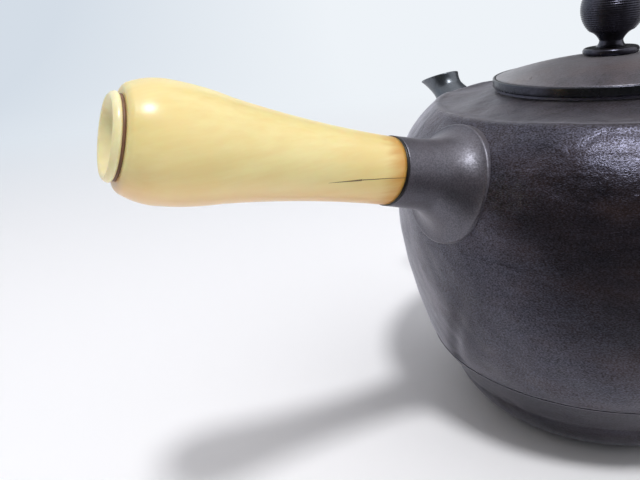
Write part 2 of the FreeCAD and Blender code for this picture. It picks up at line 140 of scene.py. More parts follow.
@dataclass(frozen=True)
class Iron:
    """Dark oxide on iron, beaten or turned: the colour is in the oxide, the shine on a thin glassy skin.

    Two tones and a warm bloom mottle it, pale flecks sit on its grain, and grain and wrinkles break up the
    shine. Grain finer than about 0.3 mm wouldn't show in the picture, so it is drawn no finer than that. A
    range is the stretch of a noise over which its effect grows from none to full.
    """

    name: str
    tone: str
    deep: str
    tone_range: Pair = (0.32, 0.68)
    bloom: str = "#3A2A22"
    bloom_share: float = 0.3
    bloom_range: Pair = (0.45, 0.75)
    fleck: str = "#77757F"
    fleck_share: float = 0.0
    fleck_range: Pair = (0.58, 0.72)
    roughness: Pair = (0.3, 0.4)
    wear_range: Pair = (0.3, 0.7)
    mottle_mm: float = 5.0
    patch_ratio: float = 3.1
    grain_mm: float = 0.5
    grain_depth_mm: float = 0.02
    wrinkle_mm: float = 3.0
    wrinkle_depth_mm: float = 0.0
    calm: float = 1.0
    calm_mm: Pair = (46.0, 70.0)
    streak_squeeze: float = 4.0
    streak_share: float = 0.14
    speckle: Pair = (0.4, 0.6)
    glint_range: Pair = (0.44, 0.70)
    squeeze: float = 1.0
    dust: float = 0.15
    dust_tone: str = "#F2F0F8"
    dust_roughness: float = 0.34
    film: float = 0.0
    film_roughness: float = 0.22
    sheen: str = "#D2D3F2"
    glaze: float = 2.2

    def material(self) -> bpy.types.Material:
        """Build the finish's material.

        Returns:
            The procedural material, on Object coordinates.
        """
        made, tree = blank_material(self.name)
        coords = add(tree, "TexCoord").outputs["Object"]
        height = add(tree, "SeparateXYZ", {"Vector": coords}).outputs["Z"]
        place = add(tree, "Mapping", {"Vector": coords, "Scale": (1.0, 1.0, self.squeeze)})
        mottle = add(tree, "TexNoise", {
            "Vector": place, "Scale": per_metre(self.mottle_mm), "Detail": 5.0, "Roughness": 0.6})
        patches = add(tree, "TexNoise", {
            "Vector": place, "Scale": per_metre(self.mottle_mm * self.patch_ratio), "Detail": 3.0})
        grain = add(tree, "TexNoise", {
            "Vector": place, "Scale": per_metre(self.grain_mm), "Detail": 2.0, "Roughness": 0.5})
        wrinkle = add(tree, "TexNoise", {
            "Vector": place, "Scale": per_metre(self.wrinkle_mm), "Detail": 2.4, "Distortion": 0.5})
        streaked = add(tree, "Mapping", {
            "Vector": coords, "Scale": (1.0, 1.0, self.streak_squeeze * self.squeeze)})
        streak = add(tree, "TexNoise", {
            "Vector": streaked, "Scale": per_metre(self.mottle_mm), "Detail": 3.0})
        layers = (
            (mottle, self.tone_range, 1.0, self.tone),
            (patches, self.bloom_range, self.bloom_share, self.bloom),
            (grain, self.fleck_range, self.fleck_share, self.fleck))
        colour = linear(self.deep)
        for noise, (none, full), most, tone in layers:
            share = add(tree, "MapRange", {
                "Value": noise, "From Min": none, "From Max": full, "To Max": most})
            colour = add(tree, "Mix", {
                SHARE: share, FIRST: colour, SECOND: linear(tone)}, data_type="RGBA").outputs[MIXED]
        worn = add(tree, "MapRange", {
            "Value": mottle, "From Min": self.wear_range[0], "From Max": self.wear_range[1],
            "To Min": self.roughness[0], "To Max": self.roughness[1]})
        brushed = add(tree, "Math", {0: streak, 1: self.streak_share, 2: grain}, operation="MULTIPLY_ADD")
        glint = add(tree, "MapRange", {
            "Value": brushed, "From Min": self.glint_range[0], "From Max": self.glint_range[1],
            "To Min": self.speckle[0], "To Max": self.speckle[1]})
        grained = add(tree, "Bump", {"Height": grain, "Strength": 1.0, "Distance": self.grain_depth_mm * MM})
        crumpled = add(tree, "MapRange", {
            "Value": height, "From Min": self.calm_mm[0] * MM, "From Max": self.calm_mm[1] * MM,
            "To Min": self.calm})
        wrinkled = add(tree, "Bump", {
            "Height": wrinkle, "Strength": crumpled, "Distance": self.wrinkle_depth_mm * MM,
            "Normal": grained})
        shader = add(tree, "BsdfPrincipled", {
            "Base Color": colour, "Roughness": worn, "IOR": self.glaze, "Normal": wrinkled,
            "Specular IOR Level": glint, "Specular Tint": linear(self.sheen),
            "Sheen Weight": self.dust, "Sheen Roughness": self.dust_roughness,
            "Sheen Tint": linear(self.dust_tone),
            "Coat Weight": self.film, "Coat Roughness": self.film_roughness, "Coat Normal": wrinkled})
        add(tree, "OutputMaterial", {"Surface": shader})
        return made


@dataclass(frozen=True)
class Crack:
    """A hairline crack on the grip, from one place to another.

    Each place is the distance along the handle in millimetres and the share of a turn round it.
    """

    start: Pair
    end: Pair
    widths_mm: Pair
    girth_mm: float = 44.0
    stray: float = 0.012

    def mask(self, tree: bpy.types.NodeTree, along: Any, turn: Any, noise: Any) -> bpy.types.Node:
        """Strength of the crack: full on its line, none beyond its width and its ends.

        Args:
            tree: Node tree of the material.
            along: Distance along the handle, in millimetres.
            turn: Share of a turn.
            noise: Noise that makes the line stray to and fro.

        Returns:
            Node with the strength.
        """
        (first, near_turn), (last, far_turn) = self.start, self.end
        line = add(tree, "MapRange", {
            "Value": along, "From Min": first, "From Max": last, "To Min": near_turn, "To Max": far_turn})
        moved = add(tree, "Math", {0: noise, 1: self.stray, 2: turn}, operation="MULTIPLY_ADD")
        apart = add(tree, "Math", {0: moved, 1: line}, operation="SUBTRACT")
        off = add(tree, "Math", {0: apart}, operation="ABSOLUTE")
        width = add(tree, "MapRange", {
            "Value": along, "From Min": first, "From Max": last,
            "To Min": self.widths_mm[0] / self.girth_mm, "To Max": self.widths_mm[1] / self.girth_mm})
        near = add(tree, "Math", {0: width, 1: off}, operation="GREATER_THAN")
        inside = add(tree, "Math", {
            0: along, 1: (first + last) / 2, 2: abs(last - first) / 2}, operation="COMPARE")
        return add(tree, "Math", {0: near, 1: inside}, operation="MULTIPLY")


@dataclass(frozen=True)
class PaleGrip:
    """Pale bone or boxwood, turned and polished: creamy, slightly waxy, stained and cracked by the socket,
    with painted shade along its underside.

    Its own UV map runs round the grip in u and along it in v, in millimetres over MAP_MM.
    """

    name: str = "turned_pale_grip"
    pale: str = "#F1E3A5"
    straw: str = "#EBD592"
    pale_range: Pair = (0.12, 0.40)
    # Painted shade: a darker tan along the underside of the grip, where less light falls.
    underside_shade: str = "#E0B083"
    underside_shade_share: float = 0.7
    underside_shade_turn: Pair = (0.23, 0.05)
    below: float = 0.25
    stain: str = "#C98A30"
    stain_share: float = 0.85
    stain_mm: Pair = (72.6, 67.0)
    ragged_mm: float = 5.0
    crack: str = "#6A5236"
    cracks: tuple[Crack, ...] = (
        Crack((67.2, 0.500), (77.0, 0.469), (0.05, 0.09)),
        Crack((77.0, 0.469), (84.0, 0.446), (0.17, 0.02)))
    grain_mm: float = 1.6
    grain_stretch: float = 0.12
    grain_depth_mm: float = 0.008
    cloud_mm: float = 14.0
    roughness: float = 0.3
    glaze: float = 1.54
    wax: float = 0.4
    wax_reach: tuple[float, float, float] = (1.0, 0.5, 0.2)
    wax_mm: float = 3.0

    def material(self) -> bpy.types.Material:
        """Build the finish's material.

        Returns:
            The procedural material, on Object coordinates and the piece's own UV map.
        """
        made, tree = blank_material(self.name)
        coords = add(tree, "TexCoord")
        own = add(tree, "SeparateXYZ", {"Vector": coords.outputs["UV"]})
        turn = own.outputs["X"]
        along = add(tree, "Math", {0: own.outputs["Y"], 1: MAP_MM}, operation="MULTIPLY")
        stretched = add(tree, "Mapping", {
            "Vector": coords.outputs["Object"], "Scale": (self.grain_stretch, 1.0, 1.0)})
        grain = add(tree, "TexNoise", {
            "Vector": stretched, "Scale": per_metre(self.grain_mm), "Detail": 4.0})
        cloud = add(tree, "TexNoise", {
            "Vector": coords.outputs["Object"], "Scale": per_metre(self.cloud_mm), "Detail": 2.0})
        mixed = add(tree, "Math", {0: grain, 1: cloud}, operation="MULTIPLY")
        creamy = add(tree, "MapRange", {
            "Value": mixed, "From Min": self.pale_range[0], "From Max": self.pale_range[1]})
        # Painted shade: the darker tan grows towards the underside of the grip.
        turned = add(tree, "Math", {0: turn, 1: self.below}, operation="SUBTRACT")
        away = add(tree, "Math", {0: turned}, operation="ABSOLUTE")
        under = add(tree, "MapRange", {
            "Value": away, "From Min": self.underside_shade_turn[0], "From Max": self.underside_shade_turn[1],
            "To Max": self.underside_shade_share}, interpolation_type="SMOOTHSTEP")
        ragged = add(tree, "Math", {0: grain, 1: self.ragged_mm, 2: along}, operation="MULTIPLY_ADD")
        none, full = (place + self.ragged_mm / 2 for place in self.stain_mm)
        stained = add(tree, "MapRange", {
            "Value": ragged, "From Min": none, "From Max": full,
            "To Max": self.stain_share}, interpolation_type="SMOOTHSTEP")
        layers = [(creamy, self.pale), (under, self.underside_shade), (stained, self.stain)]
        layers += [(crack.mask(tree, along, turn, cloud), self.crack) for crack in self.cracks]
        colour = linear(self.straw)
        for share, tone in layers:
            colour = add(tree, "Mix", {
                SHARE: share, FIRST: colour, SECOND: linear(tone)}, data_type="RGBA").outputs[MIXED]
        bump = add(tree, "Bump", {"Height": grain, "Strength": 1.0, "Distance": self.grain_depth_mm * MM})
        shader = add(tree, "BsdfPrincipled", {
            "Base Color": colour, "Roughness": self.roughness, "IOR": self.glaze, "Normal": bump,
            "Subsurface Weight": self.wax, "Subsurface Radius": self.wax_reach,
            "Subsurface Scale": self.wax_mm * MM})
        add(tree, "OutputMaterial", {"Surface": shader})
        return made


@dataclass(frozen=True)
class Horn:
    """Dark horn, turned: brown-black with faint streaks and a satin polish."""

    name: str
    tone: str
    deep: str
    roughness: float
    streak_mm: float = 1.2
    glaze: float = 1.54

    def material(self) -> bpy.types.Material:
        """Build the finish's material.

        Returns:
            The procedural material, on Object coordinates.
        """
        made, tree = blank_material(self.name)
        place = add(tree, "TexCoord").outputs["Object"]
        streak = add(tree, "TexNoise", {"Vector": place, "Scale": per_metre(self.streak_mm), "Detail": 4.0})
        colour = add(tree, "Mix", {
            SHARE: streak, FIRST: linear(self.deep), SECOND: linear(self.tone)}, data_type="RGBA")
        shader = add(tree, "BsdfPrincipled", {
            "Base Color": colour.outputs[MIXED], "Roughness": self.roughness, "IOR": self.glaze})
        add(tree, "OutputMaterial", {"Surface": shader})
        return made


Finish = Iron | PaleGrip | Horn

# Wall: iron beaten under a dark oxide. Soft dents, brown clouds, a sparkling grain and a dusty shine.
HAMMERED = Iron(
    "hammered_patina_iron", "#211817", "#110C0D", bloom="#38271F", bloom_share=0.7, fleck="#5C5866",
    fleck_share=0.16, roughness=(0.32, 0.42), mottle_mm=6.0, grain_mm=0.4, grain_depth_mm=0.06,
    wrinkle_mm=7.0, wrinkle_depth_mm=0.4, calm=0.12, speckle=(0.15, 1.0), squeeze=2.0, dust=0.9,
    dust_tone="#ECEBFA", film=0.15, film_roughness=0.34, glaze=1.6, sheen="#CED0F6")
# Base pan: the same iron, darker and duller; its darker tones are painted shade for the shadowed floor that
# it faces.
SHADED_PAN_IRON = replace(
    HAMMERED, name="shaded_pan_iron", tone="#1A1416", deep="#0E0B0D", bloom="#2A1F1C", bloom_share=0.5,
    fleck_share=0.1, dust=0.45, film=0.0, glaze=1.45)
# Socket: cast and filed iron. An even satin grey with a soft highlight on the flare.
SOCKET_IRON = Iron(
    "smooth_socket_iron", "#383136", "#292529", bloom_share=0.5, roughness=(0.4, 0.5), mottle_mm=4.0,
    grain_mm=0.3, grain_depth_mm=0.014, wrinkle_mm=1.3, wrinkle_depth_mm=0.07, speckle=(0.38, 0.66),
    dust=0.5, glaze=2.3, sheen="#DEDEEE")
# Spout: the same, finer filed. Colder and glossier.
SPOUT_IRON = Iron(
    "smooth_spout_iron", "#272C32", "#181C21", bloom_share=0.1, roughness=(0.28, 0.36), grain_mm=0.3,
    grain_depth_mm=0.008, dust=0.2, glaze=2.3, sheen="#DDE6F2")
# Lid: matt iron under a thin lacquer. A grey, speckled ground with a sheen over it.
LID_IRON = Iron(
    "matt_lid_iron", "#4A4448", "#2E292C", bloom="#503A32", bloom_share=0.6, fleck_share=0.2, mottle_mm=3.0,
    grain_mm=0.34, grain_depth_mm=0.045, wrinkle_mm=2.6, wrinkle_depth_mm=0.1, speckle=(0.1, 1.1), dust=0.8,
    film=0.7, film_roughness=0.2, glaze=1.62)
# Rim band and knob: blacked iron, polished and turned. Crisp highlights on black.
RIM_IRON = Iron(
    "polished_black_iron", "#191B18", "#101110", bloom_share=0.1, roughness=(0.2, 0.3), grain_mm=0.8,
    grain_depth_mm=0.006, dust=0.0, glaze=1.7)
KNOB_IRON = Iron(
    "turned_black_iron", "#151416", "#0D0D0F", bloom_share=0.1, roughness=(0.24, 0.32), grain_depth_mm=0.004,
    dust=0.0, glaze=1.7)
# Collar and hidden pieces: plain iron. Dark grey and dull.
COLLAR_IRON = Iron("plain_dark_iron", "#3A3638", "#2A2728", roughness=(0.34, 0.46), grain_mm=0.6)
# Grip and its lip: polished bone or boxwood. Cream, and clean at the lip, whose paler cream is painted light
# that lifts its shaded dish.
GRIP = PaleGrip()
LIGHTENED_GRIP_END = PaleGrip("turned_lip_painted_light", pale="#FBEFC0", straw="#F5E4B2", underside_shade_share=0.1, cracks=())
# Spacer and end band: turned horn. Nearly black, and a worn brown.
RING_HORN = Horn("black_ring_horn", "#1E1712", "#0E0B09", 0.38)
BAND_HORN = Horn("brown_band_horn", "#8A6650", "#6A4A38", 0.5)

# Radius and height of the vessel's widest place, in millimetres.
BELLY = (52.0, 60.0)


@dataclass(frozen=True)
class Axis:
    """A line that pieces are turned about, which leaves the pot's axis at a height and rises outwards.

    Its reach is the distance along it to the belly's radius, and its ways are its own three directions.
    """

    height: float
    reach: float
    ways: np.ndarray

    def place(self, points: np.ndarray) -> np.ndarray:
        """Carry points from the axis's own frame, Z along the axis, into the pot's frame, in millimetres."""
        return points @ self.ways + UP * self.height

    def at(self, spot: Pair) -> Pair:
        """A radius and place beyond the belly's reach, as a radius and place along the axis."""
        return (spot[0], spot[1] + self.reach)


def leaning(height: float, rise: float, bearing: float) -> Axis:
    """An axis that leaves the pot's axis at a height and rises outwards.

    Args:
        height: Height of the crossing, in millimetres.
        rise: Angle above level, in degrees.
        bearing: Direction seen from above, in degrees from +X.

    Returns:
        The axis, whose X way is level and whose Y way points down and outwards.
    """
    up, turn = np.radians([rise, bearing])
    out = np.array([np.cos(turn), np.sin(turn), 0.0])
    along = out * np.cos(up) + UP * np.sin(up)
    across = np.array([np.sin(turn), -np.cos(turn), 0.0])
    return Axis(height, BELLY[0] / np.cos(up), np.array([across, np.cross(along, across), along]))


# The spout's axis, and the hole that it needs in the wall, with ends counted from the belly's reach.
SPOUT_RISE = 40.0
SPOUT_AXIS = leaning(24.2, SPOUT_RISE, 90.0)
SPOUT_HOLE = 5.6
SPOUT_HOLE_ENDS = (-14.0, 6.0)
# Where the wall is looked for along an axis, on both sides of a seat, and how often that is halved.
WALL_SEARCH = (-15.0, 25.0)
HALVINGS = 40


def faded(values: np.ndarray, none: float, full: float) -> np.ndarray:
    """A share that grows smoothly from 0 at none to 1 at full."""
    share = np.clip((values - none) / (full - none), 0.0, 1.0)
    return share * share * (3 - 2 * share)


def easing(aside: float, ahead: float) -> float:
    """Radius of the arc that starts straight ahead and ends this far ahead and aside."""
    return (aside ** 2 + ahead ** 2) / (2 * aside)


def bend_to(wide: Pair, narrow: Pair) -> float:
    """Radius of the arc between two places of an outline that runs along the axis at one of them."""
    return easing(abs(wide[0] - narrow[0]), abs(wide[1] - narrow[1]))


def arc(start: Pair, end: Pair, bend: float, count: int) -> np.ndarray:
    """Points of an arc, without its last one.

    The arc's middle stands off the chord by bend - sqrt(bend^2 - half chord^2). A positive bend bulges to
    the right of the way from start to end, a negative one to the left.

    Args:
        start: First point.
        end: Last point.
        bend: Radius, with its side as the sign.
        count: Number of points.

    Returns:
        Array of count by 2.
    """
    first, last = np.array(start, float), np.array(end, float)
    chord = last - first
    half = np.hypot(*chord) / 2
    right = np.array([chord[1], -chord[0]]) / (2 * half)
    side, radius = np.sign(bend), abs(bend)
    depth = np.sqrt(max(radius ** 2 - half ** 2, 0.0))
    centre = (first + last) / 2 - right * side * depth
    swing = 2 * np.arcsin(min(half / radius, 1.0)) * side
    angles = np.linspace(0, swing, count, endpoint=False)
    arm = first - centre
    cos, sin = np.cos(angles)[:, None], np.sin(angles)[:, None]
    return centre + cos * arm + sin * np.array([-arm[1], arm[0]])


def run(start: Pair, end: Pair, count: int) -> np.ndarray:
    """Points of a straight stretch, without its last one."""
    share = np.linspace(0, 1, count, endpoint=False)[:, None]
    return np.array(start, float) * (1 - share) + np.array(end, float) * share


def traced(start: Pair, *legs: tuple[Any, ...], last: Pair | None = None) -> np.ndarray:
    """Points of an outline of stretches, each of which starts where the one before it ends.

    Args:
        start: First point.
        legs: For each stretch its end, its number of points and, where it is an arc, its bend.
        last: Point that ends an open outline in place of the last leg's end.

    Returns:
        Radii and heights, n by 2.
    """
    stretches: list[Any] = []
    for end, count, *bend in legs:
        stretches.append(arc(start, end, bend[0], count) if bend else run(start, end, count))
        start = end
    if last:
        stretches.append([last])
    return np.concatenate(stretches)


def outward(outline: np.ndarray) -> np.ndarray:
    """Unit normals of an outline: its way at each point, turned to the right.

    Args:
        outline: Radii and heights, n by 2.

    Returns:
        Array of n by 2.
    """
    along = np.gradient(outline, axis=0)
    along /= np.hypot(*along.T)[:, None]
    return np.stack([along[:, 1], -along[:, 0]], axis=1)


def softened(outline: np.ndarray, passes: int) -> np.ndarray:
    """Round the corners of an open outline by averaging each point with its neighbours, ends kept.

    Args:
        outline: Radii and heights, n by 2.
        passes: How often to average.

    Returns:
        The rounded outline.
    """
    smooth = outline.copy()
    for _ in range(passes):
        smooth[1:-1] = 0.25 * smooth[:-2] + 0.5 * smooth[1:-1] + 0.25 * smooth[2:]
    return smooth


def spaced(outline: np.ndarray, step: float) -> np.ndarray:
    """Points at even steps along an open outline, its ends kept.

    Args:
        outline: Radii and heights, n by 2.
        step: Distance between points, in millimetres.

    Returns:
        The new points.
    """
    lengths = np.concatenate([[0.0], np.cumsum(np.hypot(*np.diff(outline, axis=0).T))])
    places = np.linspace(0.0, lengths[-1], max(int(round(lengths[-1] / step)), 2) + 1)
    return np.stack([np.interp(places, lengths, outline[:, way]) for way in range(2)], axis=1)


def spun(outline: np.ndarray, steps: int) -> np.ndarray:
    """Turn an outline about Z: the point (r, z) becomes (r cos a, r sin a, z) at every angle a.

    Args:
        outline: Radii and heights, n by 2.
        steps: Number of angles in a full turn.

    Returns:
        Array of n by steps by 3.
    """
    angles = np.linspace(0, FULL_TURN, steps, endpoint=False)
    radii, heights = outline[:, 0][:, None], outline[:, 1][:, None]
    return np.stack([radii * np.cos(angles), radii * np.sin(angles), heights + 0 * angles], axis=2)


def skin(name: str, points: np.ndarray, ring: bool, uv: np.ndarray | None = None) -> bpy.types.Object:
    """Make a mesh object of a grid of points that closes on itself from column to column.

    Args:
        name: Name of the piece.
        points: Rows by columns by 3, in millimetres, in the pot's frame.
        ring: Whether the last row joins the first one, as in a ring; otherwise both ends lie on the axis.
        uv: Rows by columns by 2, the place of each point on the piece's own map.

    Returns:
        The object, at the origin, with its normals outwards and smooth.
    """
    rows, columns = points.shape[:2]
    upper = np.arange(rows if ring else rows - 1)[:, None]
    lower = (upper + 1) % rows
    here = np.arange(columns)[None, :]
    there = (here + 1) % columns
    faces = np.stack([upper * columns + here, upper * columns + there,
                      lower * columns + there, lower * columns + here], axis=2).reshape(-1, 4)
    mesh = bpy.data.meshes.new(name)
    mesh.from_pydata((points.reshape(-1, 3) * MM).tolist(), [], faces.tolist())
    if uv is not None:
        layer = mesh.uv_layers.new(name="own")
        layer.data.foreach_set("uv", uv.reshape(-1, 2)[faces.reshape(-1)].astype(np.float32).ravel())
    shape = bmesh.new()
    shape.from_mesh(mesh)
    bmesh.ops.remove_doubles(shape, verts=shape.verts, dist=SAME_POINT)
    bmesh.ops.recalc_face_normals(shape, faces=shape.faces)
    shape.to_mesh(mesh)
    shape.free()
    mesh.polygons.foreach_set("use_smooth", np.ones(len(mesh.polygons), bool))
    piece = bpy.data.objects.new(name, mesh)
    bpy.context.scene.collection.objects.link(piece)
    return piece


def rod(radius: float, low: float, high: float, steps: int = 48) -> np.ndarray:
    """Points of a plain rod about Z, for a cutter."""
    return spun(np.array([(0.0, low), (radius, low), (radius, high), (0.0, high)]), steps)


def pierced(piece: bpy.types.Object, points: np.ndarray) -> None:
    """Cut a hole through a piece.

    Args:
        piece: The piece, whose mesh is replaced.
        points: Grid of the cutter, in millimetres, in the pot's frame.
    """
    cutter = skin("cutter", points, ring=False)
    hole = piece.modifiers.new("hole", "BOOLEAN")
    hole.operation, hole.solver, hole.object = "DIFFERENCE", "EXACT", cutter
    bpy.context.view_layer.update()
    whole = piece.data
    piece.data = bpy.data.meshes.new_from_object(piece.evaluated_get(bpy.context.evaluated_depsgraph_get()))
    piece.modifiers.clear()
    bpy.data.meshes.remove(whole)
    bpy.data.objects.remove(cutter)


def paint(piece: bpy.types.Object, finish: Finish) -> None:
    """Give a piece its finish, whose material is made once.

    Args:
        piece: A new piece or a CAD node.
        finish: Its finish.
    """
    made = bpy.data.materials.get(finish.name) or finish.material()
    piece.data.materials.clear()
    piece.data.materials.append(made)


def dress(piece: bpy.types.Object, finish: Finish, slot: Slot, body: Body, *nodes: str) -> None:
    """Finish a new piece, hang it on its body, hide the CAD nodes that it stands for and log them.

    Args:
        piece: The piece.
        finish: Its finish.
        slot: Its slot; not used.
        body: The body that it rides on.
        nodes: The CAD nodes that it stands for.
    """
    paint(piece, finish)
    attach(piece, body.value)
    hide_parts(*nodes)
    LOG.info("%s stands for %s on %s", piece.name, ", ".join(nodes), body.value)


def plain(*nodes: str) -> None:
    """Give CAD nodes that keep their own shape the plain iron.

    Args:
        nodes: Names of the nodes.
    """
    for node in nodes:
        paint(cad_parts[node], COLLAR_IRON)
        LOG.info("%s keeps its shape, finished as %s", node, COLLAR_IRON.name)


@dataclass
class Vessel:
    """Hammered wall and base pan, in millimetres."""

    wall: float = 2.0
    base_radius: float = 30.6
    foot: Pair = (38.1, 9.5)
    foot_bend: float = 16.0
    bevel_spread: float = 4.0
    bevel_reach: float = 6.0
    bevel_gain: float = 2.0
    seam: Pair = (43.9, 18.6)
    seam_lip: float = 0.15
    seam_edge: float = 0.06
    shoulder: Pair = (41.0, 79.7)
    shoulder_bend: float = 50.0
    bead_height: float = 0.35
    bead_width: float = 1.3
    mouth: Pair = (25.2, 81.9)
    columns: int = 420
    pan_columns: int = 300
    step: float = 0.7
    inner_step: float = 2.0
    soft_passes: int = 3
    seed: int = 11
    waves: tuple[Pair, ...] = ((17.0, 0.08), (9.0, 0.035), (4.5, 0.014))
    sines: int = 12
    hammer_fade: float = 4.0
    crease_foot: Pair = (174.4, 20.4)
    crease_slope: float = 0.58
    crease_depth: float = 0.6
    crease_width: float = 2.8
    crease_rise: float = 36.0
    crease_fade: float = 1.0
    outside: np.ndarray = field(init=False)

    def __post_init__(self) -> None:
        """Work out the outer outline, from the seam up to the mouth."""
        self.outside = self.outline(0.0)

    def outline(self, inset: float) -> np.ndarray:
        """The wall's outline at a depth below the outer face, which has the shoulder's bead.

        Two arcs run from the seam over the belly to the shoulder, and a hollow one from there to the mouth.

        Args:
            inset: Depth in millimetres.

        Returns:
            Radii and heights from the seam to the mouth.
        """
        whole = traced(
            self.seam, (BELLY, 48, bend_to(BELLY, self.seam)),
            (self.shoulder, 32, bend_to(BELLY, self.shoulder)),
            (self.mouth, 24, -self.shoulder_bend), last=self.mouth)
        outer = softened(spaced(whole, self.step), self.soft_passes)
        if not inset:
            bead = np.exp(-(np.hypot(*(outer - self.shoulder).T) / self.bead_width) ** 2)
            return outer + self.bead_height * bead[:, None] * outward(outer)
        inner = outer - inset * outward(outer)
        inner[0, 1] = self.seam[1]
        inner[-1, 0] = self.mouth[0]
        return inner

    def beaten(self, points: np.ndarray) -> np.ndarray:
        """Height of the hammer marks at each point: for each wavelength, a sum of sines in random ways.

        Args:
            points: Places in millimetres, last dimension 3.

        Returns:
            Height above the plain surface, in millimetres.
        """
        draw = np.random.default_rng(self.seed)
        height = np.zeros(points.shape[:-1])
        for length, depth in self.waves:
            ways = draw.normal(size=(self.sines, 3))
            ways *= (FULL_TURN / length) / np.linalg.norm(ways, axis=1)[:, None]
            phases = draw.uniform(0, FULL_TURN, self.sines)
            height += depth * np.sin(points @ ways.T + phases).sum(axis=-1) / np.sqrt(self.sines / 2)
        return height

    def creased(self, points: np.ndarray) -> np.ndarray:
        """Depth of the soft crease, a bell curve across a line that climbs from the seam and fades.

        Args:
            points: Places in millimetres, last dimension 3.

        Returns:
            Depth below the plain surface, in millimetres.
        """
        rise = points[..., 2] - self.crease_foot[1]
        bearing = np.degrees(np.arctan2(points[..., 1], points[..., 0])) % 360.0
        aside = np.radians(bearing - self.crease_foot[0] - self.crease_slope * rise)
        across = aside * np.hypot(points[..., 0], points[..., 1])
        groove = self.crease_depth * np.exp(-(across / self.crease_width) ** 2)
        return groove * faded(rise, self.crease_rise, 0.0)

    def build(self) -> None:
        """Make the wall, moved along its normals by hammer marks less the crease, and the base pan."""
        inner = spaced(self.outline(self.wall)[::-1], self.inner_step)
        points = spun(np.concatenate([self.outside, inner]), self.columns)
        rows = len(self.outside)
        edge = np.minimum(np.arange(rows), np.arange(rows)[::-1]) * self.step
        height = faded(edge, 0.0, self.hammer_fade)[:, None] * self.beaten(points[:rows])
        height -= faded(edge, 0.0, self.crease_fade)[:, None] * self.creased(points[:rows])
        points[:rows] += spun(outward(self.outside), self.columns) * height[..., None]
        shell = skin("hammered_shell", points, ring=True)
        low, high = (SPOUT_AXIS.reach + end for end in SPOUT_HOLE_ENDS)
        pierced(shell, SPOUT_AXIS.place(rod(SPOUT_HOLE, low, high)))
        dress(shell, HAMMERED, Slot.HAMMERED, Body.POT, "body_shell")
        self.pan()
        plain("mouth_collar")

    def pan(self) -> None:
        """Make the base pan: flat, rounded bottom, beaten bevel and an edge rounded at the seam."""
        top = (self.seam[0] + self.seam_lip - self.seam_edge, self.seam[1])
        inside = tuple(self.outline(self.wall)[0])
        outer = traced(
            (0.0, 0.0), ((CORE, 0.0), 1), ((self.base_radius, 0.0), 12), (self.foot, 24, self.foot_bend),
            ((top[0], top[1] - 2 * self.seam_edge), 16), (top, 8, self.seam_edge), (inside, 4),
            ((self.base_radius, self.wall), 8), ((CORE, self.wall), 10), last=(0.0, self.wall))
        points = spun(outer, self.pan_columns)
        bevel = np.exp(-((outer[:, 1] - self.foot[1]) / self.bevel_spread) ** 2)
        bevel *= outer[:, 0] > self.foot[0] - self.bevel_reach
        dents = bevel[:, None] * self.beaten(points) * self.bevel_gain / self.foot[0]
        points[..., :2] *= 1.0 + dents[..., None]
        # The pan takes the darker iron, whose tones are painted shade.
        dress(skin("bevelled_base_pan", points, ring=False), SHADED_PAN_IRON, Slot.HAMMERED, Body.POT, "base_pan")

    def wall_place(self, axis: Axis, offsets: np.ndarray, seat: float) -> np.ndarray:
        """Where lines parallel to an axis go through the outer wall, by halving the searched stretch.

        Args:
            axis: Handle or spout axis.
            offsets: Places across the axis, n by 2, in millimetres.
            seat: Place along the axis about which the wall is searched.

        Returns:
            Distance along the axis for each offset.
        """
        low, high = (np.full(len(offsets), seat + end) for end in WALL_SEARCH)
        for _ in range(HALVINGS):
            middle = (low + high) / 2
            spots = axis.place(np.column_stack([offsets, middle]))
            radius = np.interp(spots[:, 2], self.outside[:, 1], self.outside[:, 0])
            inside = np.hypot(spots[:, 0], spots[:, 1]) < radius
            low = np.where(inside, middle, low)
            high = np.where(inside, high, middle)
        return low

    def seated(self, axis: Axis, points: np.ndarray, seat: float, reach: float, hug: float) -> np.ndarray:
        """Bend the root of a turned piece so that its foot follows the wall.

        Each column is shifted along the axis by the wall's own place there. Behind the seat the shift grows
        to the whole, so that no gap opens, and before it a share fades out over reach.

        Args:
            axis: Axis of the piece.
            points: Rows by columns by 3 in the axis's frame.
            seat: Place along the axis that comes to lie on the wall.
            reach: Distance over which the shift fades.
            hug: Share of the shift that the seat itself takes.

        Returns:
            The bent points, still in the axis's frame.
        """
        edge = points[np.argmax(np.hypot(points[:, 0, 0], points[:, 0, 1]))]
        shift = self.wall_place(axis, edge[:, :2], seat) - seat
        place = points[..., 2]
        share = hug * faded(place, seat + reach, seat) + (1.0 - hug) * faded(place, seat, place.min())
        bent = points.copy()
        bent[..., 2] += share * shift[None, :]
        return bent


